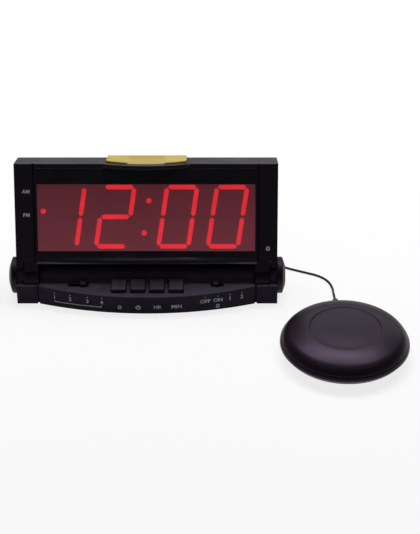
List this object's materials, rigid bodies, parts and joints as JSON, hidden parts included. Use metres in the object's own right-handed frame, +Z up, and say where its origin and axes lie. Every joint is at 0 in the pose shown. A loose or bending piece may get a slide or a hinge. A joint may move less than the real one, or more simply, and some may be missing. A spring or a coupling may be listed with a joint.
{
  "type": "bed shaker alarm clock",
  "caption": "Low black alarm clock with a tilting red digit display, yellow snooze bar, push buttons and slide switches, and a corded round bed shaker puck",
  "frame": {"origin": "on the floor, under the middle of the box round clock and puck, cord and plug left out", "axes": "+X to the clock's right side where the puck lies, +Y from the clock's face to its back, +Z up"},
  "size_m": [0.2778, 0.2574, 0.1004],
  "materials": {
    "black_abs": "fine matte moulding",
    "black_gloss": "polished moulding",
    "grey_buttons": "satin moulding",
    "yellow_bar": "satin moulding",
    "red_acrylic": "clear red sheet",
    "lit_red": "glowing",
    "unlit_red": "unlit",
    "grey_block": "matte",
    "puck_abs": "satin moulding",
    "black_rubber": "soft matte",
    "cord_pvc": "smooth soft vinyl",
    "plug_vinyl": "moulded vinyl",
    "bright_steel": "zinc plated",
    "weight_brass": "turned",
    "nickel": "nickel plated",
    "board_green": "coated board",
    "switch_black": "moulded",
    "iron_core": "varnished laminations",
    "coil_tape": "taped copper winding",
    "cone_paper": "pressed paper",
    "battery_jacket": "printed jacket left plain",
    "washer_nylon": "moulded"
  },
  "bodies": {
    "clock_base": {"base_housing": "black_abs", "base_bottom_cover": "black_abs", "rubber_feet": "black_rubber", "base_screws": "bright_steel", "main_circuit_board": "board_green", "key_switches": "switch_black", "slide_switches": "switch_black", "lamp_relay": "switch_black", "mains_transformer_core": "iron_core", "mains_transformer_coil": "coil_tape", "loudspeaker_frame": "iron_core", "loudspeaker_cone": "cone_paper", "backup_battery": "battery_jacket", "battery_contacts": "switch_black", "lamp_outlet": "switch_black", "shaker_jack": "switch_black", "power_cord_gland": "black_rubber", "left_pivot_cap": "black_abs", "right_pivot_cap": "black_abs", "pivot_pins": "bright_steel", "friction_washers": "washer_nylon", "base_cable": "cord_pvc", "shaker_top_shell": "puck_abs", "shaker_bottom_shell": "puck_abs", "shaker_foot_ring": "black_rubber", "shaker_screws": "bright_steel", "motor_can": "bright_steel", "motor_clamp": "bright_steel", "shaker_strain_relief": "black_rubber", "shaker_cord": "cord_pvc", "shaker_cord_coil": "cord_pvc", "coil_tie": "cord_pvc", "shaker_cord_tail": "cord_pvc", "shaker_plug": "plug_vinyl", "plug_pin": "nickel"},
    "display_head": {"head_front_frame": "black_abs", "head_rear_cover": "black_abs", "head_screws": "bright_steel", "display_bezel": "black_gloss", "red_filter": "red_acrylic", "display_board": "board_green", "led_digit_block": "grey_block", "lit_segments": "lit_red", "unlit_segments": "unlit_red", "snooze_switch": "switch_black", "display_cable": "cord_pvc"},
    "snooze": {"snooze_bar": "yellow_bar"},
    "alarm_set_key": {"alarm_set_button": "grey_buttons"},
    "clock_set_key": {"clock_set_button": "grey_buttons"},
    "hour_key": {"hour_button": "grey_buttons"},
    "minute_key": {"minute_button": "grey_buttons"},
    "mode_knob": {"mode_slider": "grey_buttons"},
    "alarm_knob": {"alarm_slider": "grey_buttons"},
    "volume_knob": {"volume_wheel": "black_abs"},
    "battery_lid": {"battery_door": "black_abs"},
    "shaker_rotor": {"motor_shaft": "bright_steel", "eccentric_weight": "weight_brass"}
  },
  "joints": [
    {"name": "head_tilt", "type": "hinge", "parent": "clock_base", "child": "display_head", "pos_m": [-0.04093, 0.0145, 0.0155], "axis": [-1, 0, 0], "range_deg": [-20, 15]},
    {"name": "snooze_press", "type": "slide", "parent": "display_head", "child": "snooze", "axis": [0, -0.342, -0.9397], "range_m": [0, 0.0012], "stiffness_N_per_m": 250, "springref_m": -0.002},
    {"name": "alarm_set_press", "type": "slide", "parent": "clock_base", "child": "alarm_set_key", "axis": [0, 0.1045, -0.9945], "range_m": [0, 0.001], "stiffness_N_per_m": 250, "springref_m": -0.0015},
    {"name": "clock_set_press", "type": "slide", "parent": "clock_base", "child": "clock_set_key", "axis": [0, 0.1045, -0.9945], "range_m": [0, 0.001], "stiffness_N_per_m": 250, "springref_m": -0.0015},
    {"name": "hour_press", "type": "slide", "parent": "clock_base", "child": "hour_key", "axis": [0, 0.1045, -0.9945], "range_m": [0, 0.001], "stiffness_N_per_m": 250, "springref_m": -0.0015},
    {"name": "minute_press", "type": "slide", "parent": "clock_base", "child": "minute_key", "axis": [0, 0.1045, -0.9945], "range_m": [0, 0.001], "stiffness_N_per_m": 250, "springref_m": -0.0015},
    {"name": "mode_slide", "type": "slide", "parent": "clock_base", "child": "mode_knob", "axis": [1, 0, 0], "range_m": [-0.0085, 0.0012]},
    {"name": "alarm_slide", "type": "slide", "parent": "clock_base", "child": "alarm_knob", "axis": [1, 0, 0], "range_m": [-0.0014, 0.0033]},
    {"name": "volume_turn", "type": "hinge", "parent": "clock_base", "child": "volume_knob", "pos_m": [-0.11273, 0.0615, 0.0081], "axis": [0, 0, 1], "range_deg": [0, 270]},
    {"name": "battery_door_slide", "type": "slide", "parent": "clock_base", "child": "battery_lid", "axis": [0, 1, 0], "range_m": [0, 0.024]},
    {"name": "shaker_rotor_spin", "type": "hinge", "parent": "clock_base", "child": "shaker_rotor", "pos_m": [0.09488, -0.0585, 0.0114], "axis": [0.9976, 0.0698, 0], "continuous": true}
  ]
}
